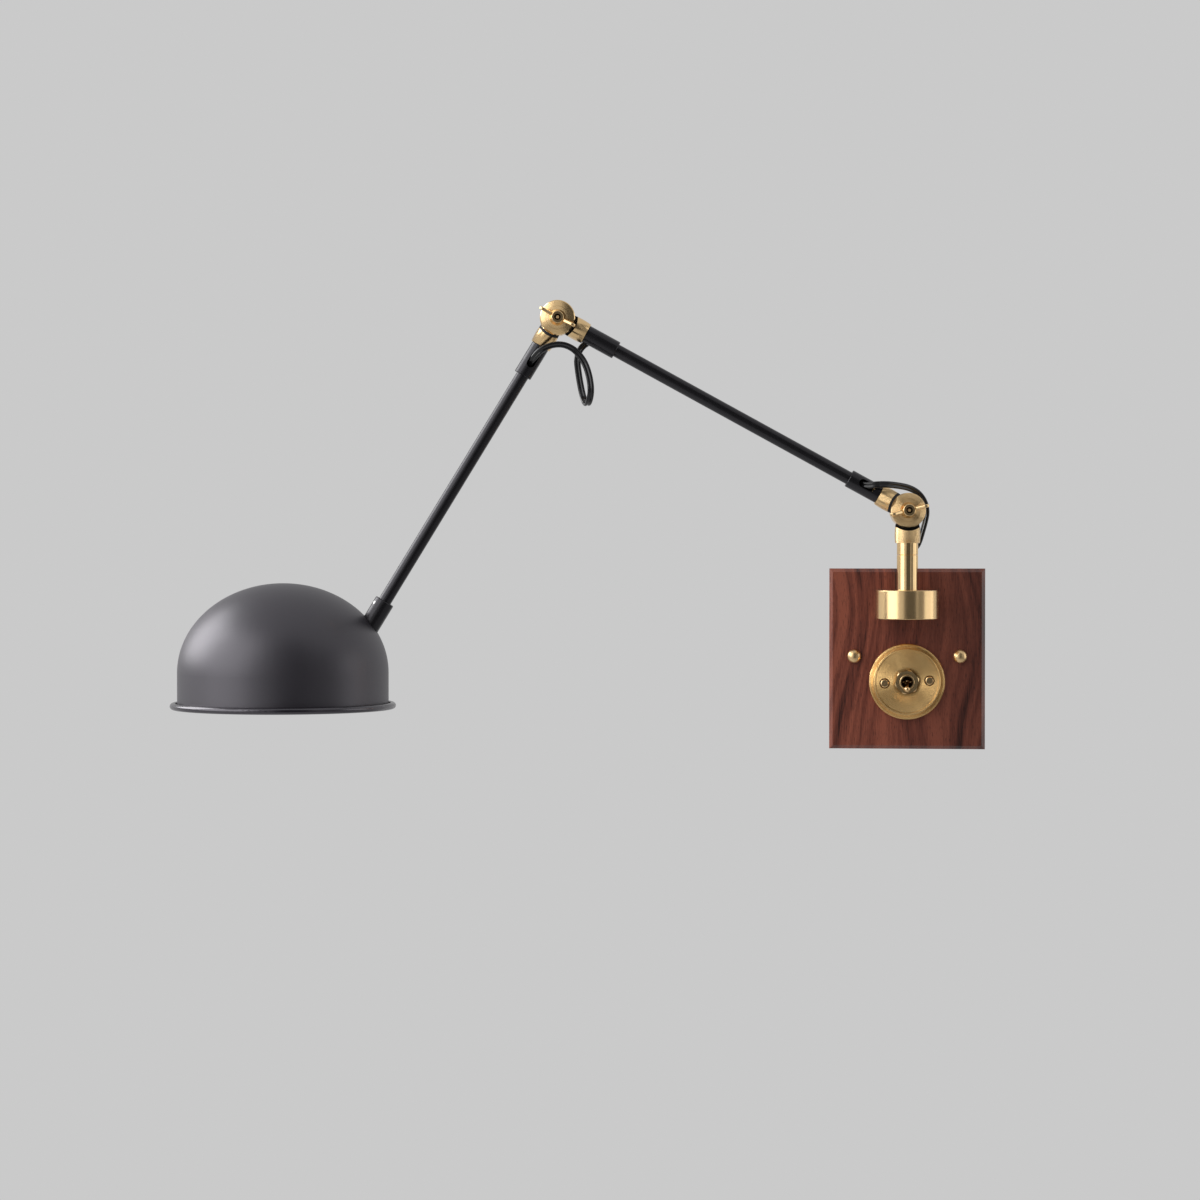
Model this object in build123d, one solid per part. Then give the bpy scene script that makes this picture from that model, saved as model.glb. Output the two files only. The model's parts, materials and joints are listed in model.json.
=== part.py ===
from build123d import *
import math
import os

# An articulating wall lamp.  A walnut plate carries a brass cup and stem, the stem turns in the cup,
# and two black arms join at brass pivots that wing nuts clamp.  A domed shade hangs on the second arm.
# X runs to the right along the wall, Y into the wall and Z up.  The origin is the middle of the
# plate's back face, and every length is in millimetres.

# ---------------------------------------------------------------- fits
thread_gap = 0.05            # between a screw or spigot and the hole that holds it fast
running_gap = 0.05           # between a pivot and the hole that turns on it
face_gap = 0.1               # between flat faces that slide on each other
cap_gap = 0.2                # round a push-in cap

# ---------------------------------------------------------------- wooden back plate
plate_width = 125.5
plate_height = 146.0
plate_thickness = 22.0
plate_chamfer = 2.8
recess_width = 97.0
recess_height = 116.0
recess_depth = 15.0
recess_corner = 6.0

# ---------------------------------------------------------------- wall crossbar, studs and cap nuts
crossbar_gap = 1.0           # between the crossbar's end and the recess
crossbar_end = 5.0           # from the crossbar's end to a stud's middle
crossbar_width = 14.0
crossbar_thickness = 2.0
stud_height = 2.1            # above the plate's middle
stud_diameter = 5.0
wall_screw_spacing = 60.0
wall_slot_length = 10.0
wall_slot_width = 4.6
cap_nut_diameter = 11.2
cap_nut_collar = 2.6
cap_nut_dome = 4.6
stud_end_cover = 1.8         # brass left in front of a stud's end

# ---------------------------------------------------------------- cup on the plate
cup_diameter = 50.0
cup_height = 23.0
cup_base_height = 32.8       # of the cup's lower edge above the plate's middle
cup_wall = 2.2
cup_top_thickness = 2.5
cup_flat_depth = 1.0         # how far the back of the cup is cut flat where it seats on the plate
cup_pad_width = 22.0
cup_pad_thickness = 4.0
cup_edge_round = 0.6
base_cap_thickness = 2.0
base_cap_inset = 0.5

# ---------------------------------------------------------------- nipple that holds the cup
nipple_diameter = 10.0
nipple_bore = 7.0
nipple_height = 42.8
nipple_nut_across = 14.0
nipple_nut_thickness = 3.0
nipple_overhang = 1.6        # thread left showing past each nut

# ---------------------------------------------------------------- terminal block in the recess
terminal_width = 30.0
terminal_height = 11.0
terminal_depth = 11.0
terminal_screw_diameter = 3.6
terminal_top_height = 30.0

# ---------------------------------------------------------------- stem and swivel
stem_diameter = 17.0
lower_stem_length = 28.2
upper_stem_length = 9.6
swivel_seam = 0.2
stem_bore = 8.0
stem_thread_diameter = 12.0
stem_nut_across = 17.0
stem_nut_thickness = 3.5
swivel_spigot_diameter = 12.0
swivel_spigot_length = 17.5
swivel_groove_height = 10.4  # of the groove's middle below the seam
swivel_groove_width = 3.2
swivel_groove_depth = 1.0
grub_diameter = 3.0
grub_sunk = 0.3
stem_socket_depth = 6.0
stem_socket_diameter = 12.0
cord_hole_diameter = 6.0
cord_hole_turn = 35.0        # degrees from straight back towards the right
cord_hole_height = 4.8       # above the seam
stem_bore_reach = 8.4        # of the upper stem's bore above the seam

# ---------------------------------------------------------------- pivots
disc_diameter = 28.0
disc_thickness = 6.8
disc_edge = 0.7
washer_diameter = 26.0
washer_thickness = 0.6
barrel_reach = 26.1          # from the pivot to the end of the barrel
barrel_root = 11.0
barrel_waist_diameter = 16.8
barrel_widest_diameter = 17.8
barrel_end_diameter = 16.6
collar_waist_diameter = 19.0
collar_widest_diameter = 20.6
collar_end_diameter = 19.8
relief_gap = 2.3             # between a disc and the barrel that is cut away round it
bolt_diameter = 5.0
bolt_head_diameter = 9.5
bolt_head_height = 3.2
bolt_slot_width = 1.2
bolt_slot_depth = 1.2
bolt_tip_recess = 1.4        # how far the bolt's end lies inside the wing nut

# ---------------------------------------------------------------- wing nuts
wing_hub_base_diameter = 13.0
wing_hub_top_diameter = 9.6
wing_hub_height = 7.0
wing_span = 32.0
wing_thickness = 2.6
wing_tip_radius = 2.9
wing_root_radius = 2.1
wing_root_distance = 4.2
wing_root_height = 3.0
wing_tip_height = 7.6
wing_edge_round = 0.8
shoulder_wing_turn = 14.0    # degrees, right wing raised
elbow_wing_turn = -28.0

# ---------------------------------------------------------------- arms
arm_yaw = 6.2                # the arms swing out from the wall at rest
arm_1_rise = 28.7            # above level
arm_2_drop = 58.6            # below level
arm_1_length = 319.2         # pivot to pivot
arm_2_length = 276.0         # elbow pivot to the tube's end in the shade's collar
tube_diameter = 10.5
tube_bore = 8.4
sleeve_diameter = 14.5
sleeve_length = 27.4
sleeve_spigot_length = 6.4
sleeve_edge = 0.4
tube_start = 45.5            # from the pivot to the tube's end inside the sleeve
slot_middle = 38.6           # from the pivot to the middle of a sleeve's cord slot
slot_length = 13.6
slot_width = 6.8
slot_turn_lower = 14.0       # degrees from the front, towards the upper side
slot_turn_elbow = 166.0
slot_turn_second = -8.0
lead_start = 47.6            # of the flex inside a tube, past the free flex's end

# ---------------------------------------------------------------- shade
dome_diameter = 168.0
dome_height = 71.4
skirt_height = 26.3
shade_wall = 1.0
rim_overhang = 5.8           # of the rolled rim outside the skirt
rim_bead_diameter = 5.2
dome_entry = 9.5             # from the second tube's end to the dome, along the arm
dome_entry_turn = 33.25      # degrees, how far up the dome's curve the arm meets it
shade_collar_diameter = 16.0
shade_collar_cover = 11.5    # of the tube inside the collar
shade_collar_edge = 0.5
collar_grub_distance = 5.0   # from the collar's open end
collar_groove_depth = 0.6
shade_nipple_diameter = 10.0
shade_nipple_bore = 6.0
saddle_diameter = 18.0
saddle_depth = 5.5           # of the saddle washer's flat face inside the dome, along the arm
shade_nut_across = 14.0
shade_nut_thickness = 3.0

# ---------------------------------------------------------------- lampholder and bulb
holder_diameter = 25.0
holder_cap_height = 9.0
holder_shell_height = 19.0
holder_shell_wall = 2.0
holder_neck_diameter = 14.0
holder_floor = 2.0
holder_cap_rim = 1.6
bulb_cap_diameter = 14.0
bulb_cap_length = 17.0
bulb_contact_diameter = 6.0
bulb_contact_height = 1.5
bulb_globe_diameter = 37.0
bulb_neck_diameter = 15.0
bulb_neck_length = 2.0

# ---------------------------------------------------------------- switch
switch_height = -18.4        # of the switch's middle above the plate's middle
switch_base_diameter = 61.4
switch_base_thickness = 4.4
switch_base_round = 1.6
switch_cover_diameter = 54.0
switch_cover_height = 4.4
switch_cover_wall = 1.2
switch_cover_round = 0.7
switch_lip_width = 1.7
switch_lip_height = 0.7
switch_body_diameter = 29.0
switch_body_depth = 20.0
switch_opening_gap = 0.6
switch_bush_diameter = 12.0
switch_bush_height = 4.9     # in front of the cover's face
switch_bush_throat = 5.4
switch_bush_mouth = 9.4
switch_nut_across = 17.6
switch_nut_thickness = 2.6
switch_nut_turn = 15.0
switch_screw_spacing = 36.0
switch_screw_turn = 3.6      # degrees, the right screw is the higher one
switch_screw_diameter = 3.0
switch_screw_head = 6.8
switch_screw_head_height = 1.5
switch_screw_head_round = 1.1
switch_screw_slot_width = 0.9
switch_screw_slot_depth = 0.8
switch_screw_slot_turn = 35.0
switch_screw_bite = 5.5
lever_ball_diameter = 4.8
lever_pin_diameter = 1.6
lever_pin_length = 10.4
lever_root_diameter = 3.0
lever_tip_diameter = 4.6
lever_length = 15.0
lever_tilt = 20.0            # below level at rest

# ---------------------------------------------------------------- flex
cord_diameter = 4.1          # a round cord with the section area of the 5.4 by 2.75 flat twin flex
stem_lead_bend = 2.9
stem_lead_reach = 3.0        # of the lead's end from the stem's axis
base_lead_bend_rear = 3.4
base_lead_bend_cup = 5.4
base_lead_back = 5.5         # of the lead in front of the wall plane, above the terminal block

# Each route is a list of offsets from a pivot: to the right along the arms, up, and back to the wall.
shoulder_route = [
    (1.9, -31.1, 2.7),
    (7.2, -31.0, 9.6),
    (10.6, -26.4, 11.6),
    (13.4, -16.8, 10.9),
    (15.8, -8.0, 10.7),
    (17.1, -0.6, 10.6),
    (15.2, 7.4, 10.4),
    (9.8, 14.4, 9.4),
    (1.6, 18.4, 5.0),
    (-8.0, 19.9, -1.6),
    (-17.2, 20.7, -7.2),
    (-26.8, 20.4, -10.4),
    (-34.2, 19.4, -4.8),
    (-40.6, 22.2, -0.2),
]
elbow_route = [
    (-24.1, -39.5, -0.2),
    (-20.4, -34.2, -4.6),
    (-15.0, -27.2, -11.0),
    (-6.8, -22.6, -11.4),
    (3.2, -21.2, -10.8),
    (11.8, -24.4, -10.2),
    (17.8, -30.2, -10.0),
    (22.4, -37.6, -11.0),
    (25.4, -47.2, -12.0),
    (26.8, -57.4, -12.0),
    (25.8, -65.0, -8.6),
    (24.0, -69.4, -1.4),
    (22.2, -67.4, 5.8),
    (20.2, -61.2, 10.8),
    (18.2, -51.4, 12.6),
    (16.6, -41.2, 12.2),
    (15.6, -32.0, 11.2),
    (17.6, -24.2, 10.8),
    (24.6, -18.0, 11.4),
    (34.2, -18.5, 4.8),
    (40.6, -22.2, 0.2),
]

# ---------------------------------------------------------------- places worked out from the sizes
yaw = math.radians(arm_yaw)
along = Vector(math.cos(yaw), math.sin(yaw), 0)       # level, in the arms' plane, to the right
back = Vector(-math.sin(yaw), math.cos(yaw), 0)       # the pivots' axis, away from the viewer
up = Vector(0, 0, 1)
front = back * -1

stem_y = -plate_thickness - cup_diameter / 2 + cup_flat_depth
cup_top = cup_base_height + cup_height
seam_height = cup_top + lower_stem_length
collar_height = seam_height + upper_stem_length
shoulder = Vector(0, stem_y, collar_height + barrel_reach)

rise = math.radians(arm_1_rise)
drop = math.radians(arm_2_drop)
arm_1_direction = along * -math.cos(rise) + up * math.sin(rise)
arm_2_direction = along * -math.cos(drop) - up * math.sin(drop)
elbow = shoulder + arm_1_direction * arm_1_length

crossbar_length = recess_width - 2 * crossbar_gap
stud_spacing = crossbar_length - 2 * crossbar_end
rim_outer_diameter = dome_diameter + 2 * rim_overhang
shade_collar_start = arm_2_length - shade_collar_cover         # these two from the elbow pivot
saddle_seat = arm_2_length + dome_entry + saddle_depth
entry = elbow + arm_2_direction * (arm_2_length + dome_entry)
entry_turn = math.radians(dome_entry_turn)
shade_middle = (entry - along * (math.cos(entry_turn) * dome_diameter / 2)
                - up * (math.sin(entry_turn) * dome_height))

# In each of these frames X runs out along a stub or arm and Z comes out of the pivot to the front.
stem_frame = Plane(origin=shoulder, x_dir=up * -1, z_dir=front)
arm_1_frame = Plane(origin=shoulder, x_dir=arm_1_direction, z_dir=front)
arm_1_far_frame = Plane(origin=elbow, x_dir=arm_1_direction * -1, z_dir=front)
arm_2_frame = Plane(origin=elbow, x_dir=arm_2_direction, z_dir=front)
# In this one Z comes straight out of the plate.
plate_frame = Plane(origin=(0, -plate_thickness, 0), x_dir=(1, 0, 0), z_dir=(0, -1, 0))
switch_frame = Plane(origin=(0, -plate_thickness, switch_height), x_dir=(1, 0, 0), z_dir=(0, -1, 0))
stem_axis_frame = Plane(origin=(0, stem_y, 0), x_dir=along, z_dir=up)
shade_frame = Plane(origin=shade_middle, x_dir=along, z_dir=up)

wood_left = plate_thickness - recess_depth            # between the recess and the plate's front
disc_radius = disc_diameter / 2
disc_seat = washer_thickness / 2 + face_gap           # of a disc's inner face from the middle plane
disc_face = disc_seat + disc_thickness                # of its outer face
sleeve_end = barrel_reach + sleeve_length
cover_face = switch_base_thickness + switch_cover_height
nut_face = disc_face + face_gap                       # where a wing nut stands

switch_screw_spots = [Rot(0, 0, switch_screw_turn) * Pos(side * switch_screw_spacing / 2, 0, 0)
                      for side in (-1, 1)]

ON_BASE = (Align.CENTER, Align.CENTER, Align.MIN)


# ---------------------------------------------------------------- small helpers
def post(diameter, start, end):
    """A round post along Z between two heights."""
    return Pos(0, 0, start) * Cylinder(diameter / 2, end - start, align=ON_BASE)


def rod(diameter, start, end):
    """A round rod along X between two distances."""
    return Rot(0, 90, 0) * post(diameter, start, end)


def hexagon(across, start, end):
    """A six-sided prism along Z between two heights."""
    outline = RegularPolygon(across / 2, 6, major_radius=False)
    return Pos(0, 0, start) * extrude(outline, end - start)


def turned(points, axis):
    """A solid turned about an axis from a closed outline of straight lines in the XY plane."""
    return revolve(make_face(Polyline(*points, close=True)), axis)


def quarter_ellipse(radius, height, base):
    """A curve from the rim of a dome to its top, close to a quarter of an ellipse."""
    handle = 0.5523
    return Bezier((radius, base), (radius, base + handle * height),
                  (handle * radius, base + height), (0, base + height))


def place(frame, piece):
    """A piece moved from its own frame to its place on the lamp."""
    return frame.location * piece


def lead(path, diameter=cord_diameter):
    """A round lead swept along a path of straight runs and arcs."""
    section = Plane(origin=path @ 0, z_dir=path % 0) * Circle(diameter / 2)
    return sweep(section, path)


# ---------------------------------------------------------------- wooden back plate and wall crossbar
def backplate():
    blank = Pos(0, -plate_thickness / 2, 0) * Box(plate_width, plate_thickness, plate_height)
    blank = chamfer(blank.faces().sort_by(Axis.Y)[0].edges(), plate_chamfer)
    recess = Box(recess_width, recess_depth, recess_height)
    recess = fillet(recess.edges().filter_by(Axis.Y), recess_corner)
    blank -= Pos(0, -recess_depth / 2, 0) * recess
    for side in (-1, 1):
        hole = post(stud_diameter + 8 * thread_gap, -plate_thickness, 0)
        blank -= place(plate_frame, Pos(side * stud_spacing / 2, stud_height, 0) * hole)
    blank -= place(plate_frame, Pos(0, nipple_height, 0) * post(nipple_diameter + 4 * thread_gap,
                                                                -plate_thickness, 0))
    opening = switch_body_diameter + 2 * switch_opening_gap
    blank -= place(switch_frame, post(opening, -plate_thickness, 0))
    blank -= [place(switch_frame, hole) for hole in switch_screw_holes()]
    return blank


def wall_crossbar():
    bar = Pos(0, -crossbar_thickness / 2, stud_height) * Box(
        crossbar_length, crossbar_thickness, crossbar_width)
    bar = fillet(bar.edges().filter_by(Axis.Y), crossbar_width / 3)
    back_frame = Plane(origin=(0, 0, stud_height), x_dir=(1, 0, 0), z_dir=(0, -1, 0))
    for side in (-1, 1):
        hole = post(stud_diameter + 2 * thread_gap, 0, crossbar_thickness)
        slot = extrude(SlotOverall(wall_slot_length, wall_slot_width), crossbar_thickness)
        bar -= place(back_frame, Pos(side * stud_spacing / 2, 0, 0) * hole)
        bar -= place(back_frame, Pos(side * wall_screw_spacing / 2, 0, 0) * slot)
    return bar


def crossbar_studs():
    reach = cap_nut_collar + cap_nut_dome - stud_end_cover
    stud = post(stud_diameter, -plate_thickness, reach)
    stud = chamfer(stud.edges().filter_by(GeomType.CIRCLE), stud_diameter / 10)
    spots = [Pos(side * stud_spacing / 2, stud_height, 0) for side in (-1, 1)]
    return [place(plate_frame, spot * stud) for spot in spots]


def cap_nuts():
    radius = cap_nut_diameter / 2
    top = cap_nut_collar + cap_nut_dome
    outline = Line((0, 0), (radius - 0.4, 0)) + Line((radius - 0.4, 0), (radius, 0.4))
    outline += Line((radius, 0.4), (radius, cap_nut_collar))
    outline += quarter_ellipse(radius, cap_nut_dome, cap_nut_collar)
    outline += Line((0, top), (0, 0))
    nut = Rot(90, 0, 0) * revolve(make_face(outline), Axis.Y)
    nut -= post(stud_diameter + 2 * thread_gap, 0, top - stud_end_cover + thread_gap)
    spots = [Pos(side * stud_spacing / 2, stud_height, 0) for side in (-1, 1)]
    return [place(plate_frame, spot * nut) for spot in spots]


def terminal_block():
    block = Box(terminal_width, terminal_depth, terminal_height)
    block = fillet(block.edges().filter_by(Axis.Y), 1.0)
    for column in (-1, 0, 1):
        hole = Rot(90, 0, 0) * post(terminal_screw_diameter, 0, terminal_depth)
        block -= Pos(column * terminal_width / 3, terminal_depth * 0.8, 0) * hole
    middle_y = -recess_depth + terminal_depth / 2
    return Pos(0, middle_y, terminal_top_height - terminal_height / 2) * block


# ---------------------------------------------------------------- cup, nipple and lower stem
def canopy_cup():
    shell = post(cup_diameter, cup_base_height, cup_top)
    shell = fillet(shell.edges().filter_by(GeomType.CIRCLE), cup_edge_round)
    cavity = post(cup_diameter - 2 * cup_wall, cup_base_height, cup_top - cup_top_thickness)
    pad_front = cup_diameter / 2 - cup_flat_depth - cup_pad_thickness
    pad = Pos(0, pad_front, cup_base_height) * Box(
        cup_pad_width, cup_diameter, cup_height, align=(Align.CENTER, Align.MIN, Align.MIN))
    flat = Pos(0, cup_diameter / 2 - cup_flat_depth, cup_base_height) * Box(
        cup_diameter, cup_diameter, 2 * cup_height, align=(Align.CENTER, Align.MIN, Align.CENTER))
    shell -= cavity - pad
    shell -= flat
    shell -= post(stem_thread_diameter + 2 * thread_gap, cup_base_height, cup_top)
    nipple_hole = Rot(-90, 0, 0) * post(nipple_diameter + 2 * thread_gap, 0, cup_diameter)
    shell -= Pos(0, 0, nipple_height) * nipple_hole
    return Pos(0, stem_y, 0) * shell


def base_cap():
    start = cup_base_height + base_cap_inset
    disc = post(cup_diameter - 2 * cup_wall - 2 * cap_gap, start, start + base_cap_thickness)
    notch_front = cup_diameter / 2 - cup_flat_depth - cup_pad_thickness - cap_gap
    notch = Pos(0, notch_front, start) * Box(
        cup_pad_width + 2 * cap_gap, cup_diameter, cup_height,
        align=(Align.CENTER, Align.MIN, Align.CENTER))
    return Pos(0, stem_y, 0) * (disc - notch)


def cup_nipple():
    past_nut = nipple_nut_thickness + nipple_overhang
    rear, fore = -wood_left - past_nut, cup_pad_thickness + past_nut
    tube = post(nipple_diameter, rear, fore) - post(nipple_bore, rear, fore)
    return place(plate_frame, Pos(0, nipple_height, 0) * tube)


def nipple_nuts():
    nuts = [hexagon(nipple_nut_across, cup_pad_thickness, cup_pad_thickness + nipple_nut_thickness),
            hexagon(nipple_nut_across, -wood_left - nipple_nut_thickness, -wood_left)]
    hole = post(nipple_diameter + 2 * thread_gap, -plate_thickness, plate_thickness)
    return [place(plate_frame, Pos(0, nipple_height, 0) * (nut - hole)) for nut in nuts]


def lower_stem():
    stem = post(stem_diameter, cup_top, seam_height)
    stem = chamfer(stem.edges().group_by(Axis.Z)[-1], 0.25)
    tail = cup_top - cup_top_thickness - stem_nut_thickness - thread_gap
    stem += post(stem_thread_diameter, tail, cup_top)
    stem -= post(stem_bore, tail, seam_height)
    socket_floor = seam_height - swivel_spigot_length - face_gap
    stem -= post(swivel_spigot_diameter + 2 * running_gap, socket_floor, seam_height)
    hole = Rot(-90, 0, 0) * post(grub_diameter + 2 * thread_gap, 0, stem_diameter)
    stem -= Pos(0, 0, seam_height - swivel_groove_height) * hole
    return Pos(0, stem_y, 0) * stem


def stem_nut():
    top = cup_top - cup_top_thickness
    nut = hexagon(stem_nut_across, top - stem_nut_thickness, top)
    nut -= post(stem_thread_diameter + 2 * thread_gap, top - stem_nut_thickness, top)
    return Pos(0, stem_y, 0) * nut


def swivel_grub():
    tip = swivel_spigot_diameter / 2 - swivel_groove_depth + 3 * face_gap
    screw = post(grub_diameter, tip, stem_diameter / 2 - grub_sunk)
    screw = Rot(-90, 0, 0) * screw
    return Pos(0, stem_y, seam_height - swivel_groove_height) * screw


def base_lead():
    path = FilletPolyline(
        (0, -base_lead_back, terminal_top_height),
        (0, -base_lead_back, nipple_height),
        (0, stem_y, nipple_height),
        (0, stem_y, seam_height),
        radius=[base_lead_bend_rear, base_lead_bend_cup])
    return lead(path)


# ---------------------------------------------------------------- switch
def switch_screw_holes():
    """The two screws' holes, from the wood to the cover's face."""
    hole = post(switch_screw_diameter + 2 * thread_gap, -switch_screw_bite, cover_face)
    return [spot * hole for spot in switch_screw_spots]


def switch_base():
    base = post(switch_base_diameter, 0, switch_base_thickness)
    base = fillet(base.edges().group_by(Axis.Z)[-1], switch_base_round)
    base -= post(switch_body_diameter + 2 * thread_gap, 0, switch_base_thickness)
    base -= switch_screw_holes()
    return place(switch_frame, base)


def switch_cover():
    radius = switch_cover_diameter / 2
    top = cover_face + switch_lip_height
    cover = post(switch_cover_diameter, switch_base_thickness, top)
    cover = fillet(cover.edges().group_by(Axis.Z)[-1], switch_cover_round)
    cover -= post(2 * (radius - switch_lip_width), cover_face, top)
    inside = 2 * (radius - switch_cover_wall)
    cover -= post(inside, switch_base_thickness, cover_face - switch_cover_wall)
    cover -= post(switch_bush_diameter + 2 * thread_gap, switch_base_thickness, top)
    cover -= switch_screw_holes()
    return place(switch_frame, cover)


def switch_body():
    """The switch's insulating body, behind the cover, with the threaded foot of the bush on it."""
    top = cover_face - switch_cover_wall - face_gap
    body = post(switch_body_diameter, top - switch_body_depth, top)
    body = chamfer(body.edges().group_by(Axis.Z)[0], 1.0)
    body -= post(switch_bush_diameter + 2 * thread_gap, top - switch_body_depth / 2, top)
    return place(switch_frame, body)


def switch_bush():
    bottom = cover_face - switch_cover_wall - face_gap - switch_body_depth / 2
    top = cover_face + switch_bush_height
    bush = post(switch_bush_diameter, bottom, top)
    bush = fillet(bush.edges().group_by(Axis.Z)[-1], 0.5)
    bush -= post(switch_bush_throat, bottom, top)
    bush -= Pos(0, 0, cover_face) * Cone(
        switch_bush_throat / 2, switch_bush_mouth / 2, switch_bush_height, align=ON_BASE)
    pin_hole = rod(lever_pin_diameter + 2 * running_gap, -switch_bush_diameter, switch_bush_diameter)
    bush -= Pos(0, 0, cover_face) * pin_hole
    return place(switch_frame, bush)


def switch_nut():
    nut = hexagon(switch_nut_across, cover_face, cover_face + switch_nut_thickness)
    dressed = post(switch_nut_across * 1.12, cover_face, cover_face + switch_nut_thickness)
    dressed = chamfer(dressed.edges().group_by(Axis.Z)[-1], 0.7)
    nut = Rot(0, 0, switch_nut_turn) * nut & dressed
    nut -= post(switch_bush_diameter + 2 * thread_gap, cover_face,
                cover_face + switch_nut_thickness)
    return place(switch_frame, nut)


def switch_screws():
    top = cover_face + switch_screw_head_height
    screw = post(switch_screw_head, cover_face, top)
    screw = fillet(screw.edges().group_by(Axis.Z)[-1], switch_screw_head_round)
    screw += post(switch_screw_diameter, -switch_screw_bite, cover_face)
    groove = Box(switch_screw_head, switch_screw_slot_width, 2 * switch_screw_slot_depth)
    screw -= Pos(0, 0, top) * Rot(0, 0, switch_screw_slot_turn) * groove
    return [place(switch_frame, spot * screw) for spot in switch_screw_spots]


def toggle_lever():
    """The lever turns on a pin across the bush, through its ball, and leans down at rest."""
    outline = [(0, 0), (0, lever_root_diameter / 2),
               (lever_length, lever_tip_diameter / 2 * 0.8), (lever_length, 0)]
    lever = turned(outline, Axis.X)
    lever += Sphere(lever_ball_diameter / 2)
    lever += Pos(lever_length, 0, 0) * Sphere(lever_tip_diameter / 2)
    leaning = Rot(0, -90, 0) * lever
    leaning += rod(lever_pin_diameter, -lever_pin_length / 2, lever_pin_length / 2)
    tilted = Rot(lever_tilt, 0, 0) * leaning
    return place(switch_frame, Pos(0, 0, cover_face) * tilted)


# ---------------------------------------------------------------- pivots
def pivot_half(side, waist, widest, end, spigot):
    """Half of a pivot: a disc on one side of the middle plane, on a barrel along X.

    The barrel is cut away round the other half's disc, so that the two can turn."""
    disc = Pos(0, 0, side * (disc_seat + disc_thickness / 2)) * Cylinder(disc_radius, disc_thickness)
    outer = disc.edges().group_by(Axis.Z)[-1 if side > 0 else 0]
    disc = chamfer(outer, disc_edge)
    middle = (barrel_root + barrel_reach) / 2
    outline = Line((barrel_root, 0), (barrel_root, waist / 2))
    outline += ThreePointArc((barrel_root, waist / 2), (middle, widest / 2), (barrel_reach, end / 2))
    outline += Line((barrel_reach, end / 2), (barrel_reach, 0))
    outline += Line((barrel_reach, 0), (barrel_root, 0))
    barrel = revolve(make_face(outline), Axis.X)
    beyond = Pos(0, 0, side * (disc_face + widest / 2)) * Cylinder(disc_radius, widest)
    relief = Pos(0, 0, side * (disc_seat - widest)) * Cylinder(disc_radius + relief_gap, 2 * widest)
    half = disc + (barrel - beyond - relief)
    if spigot > 0:
        half += rod(tube_diameter, barrel_reach - 1, barrel_reach + spigot)
    half -= post(bolt_diameter + 2 * running_gap, -widest, widest)
    return half


def arm_half(side):
    return pivot_half(side, barrel_waist_diameter, barrel_widest_diameter, barrel_end_diameter,
                      sleeve_spigot_length)


def shoulder_post():
    """The rear half of the shoulder pivot, which stands on the stem."""
    half = pivot_half(-1, collar_waist_diameter, collar_widest_diameter, collar_end_diameter, 0)
    half -= rod(stem_socket_diameter + 2 * thread_gap, barrel_reach - stem_socket_depth, barrel_reach)
    return place(stem_frame, half)


def friction_washer(frame):
    ring = Cylinder(washer_diameter / 2, washer_thickness)
    ring -= Cylinder(bolt_diameter / 2 + running_gap, washer_thickness)
    return place(frame, ring)


def pivot_bolt(frame):
    """A slotted bolt, put in from behind."""
    tip = nut_face + wing_hub_height - bolt_tip_recess
    shank = post(bolt_diameter, -disc_face, tip)
    shank = chamfer(shank.edges().group_by(Axis.Z)[-1], 0.6)
    head = post(bolt_head_diameter, -disc_face - bolt_head_height, -disc_face)
    head = fillet(head.edges().group_by(Axis.Z)[0], 0.8)
    groove = Box(bolt_head_diameter, bolt_slot_width, 2 * bolt_slot_depth)
    head -= Pos(0, 0, -disc_face - bolt_head_height) * groove
    return place(frame, shank + head)


def wing_nut(pivot, turn):
    tip_distance = wing_span / 2 - wing_tip_radius
    hub = Cone(wing_hub_base_diameter / 2, wing_hub_top_diameter / 2, wing_hub_height, align=ON_BASE)
    hub = fillet(hub.edges().filter_by(GeomType.CIRCLE).group_by(Axis.Z)[-1], 0.8)
    rounds = [Pos(tip_distance, wing_tip_height) * Circle(wing_tip_radius),
              Pos(wing_root_distance, wing_root_height) * Circle(wing_root_radius)]
    outline = make_hull([edge for circle in rounds for edge in circle.edges()])
    blade = Rot(90, 0, 0) * extrude(outline, wing_thickness / 2, both=True)
    blade = fillet(blade.faces().filter_by(Axis.Y).edges(), wing_edge_round)
    nut = hub + blade + Rot(0, 0, 180) * blade
    nut -= post(bolt_diameter + 2 * running_gap, 0, wing_hub_height)
    frame = Plane(origin=pivot + front * nut_face, x_dir=along, z_dir=front)
    return place(frame, Rot(0, 0, turn) * nut)


def upper_stem():
    """The turning part of the stem, with a grooved spigot down into the lower stem."""
    start = seam_height + swivel_seam
    stem = post(stem_diameter, start, collar_height)
    stem = chamfer(stem.edges().group_by(Axis.Z)[0], 0.25)
    stem += post(stem_socket_diameter, collar_height, collar_height + stem_socket_depth - face_gap)
    groove_middle = seam_height - swivel_groove_height
    spigot = post(swivel_spigot_diameter, seam_height - swivel_spigot_length, start)
    ring = post(2 * swivel_spigot_diameter, groove_middle - swivel_groove_width / 2,
                groove_middle + swivel_groove_width / 2)
    ring -= post(swivel_spigot_diameter - 2 * swivel_groove_depth,
                 groove_middle - swivel_groove_width, groove_middle + swivel_groove_width)
    stem += spigot - ring
    stem -= post(stem_bore, seam_height - swivel_spigot_length, seam_height + stem_bore_reach)
    hole = Rot(-90, 0, 0) * post(cord_hole_diameter, 0, stem_diameter)
    stem -= Pos(0, 0, seam_height + cord_hole_height) * Rot(0, 0, -cord_hole_turn) * hole
    return place(stem_axis_frame, stem)


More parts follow.
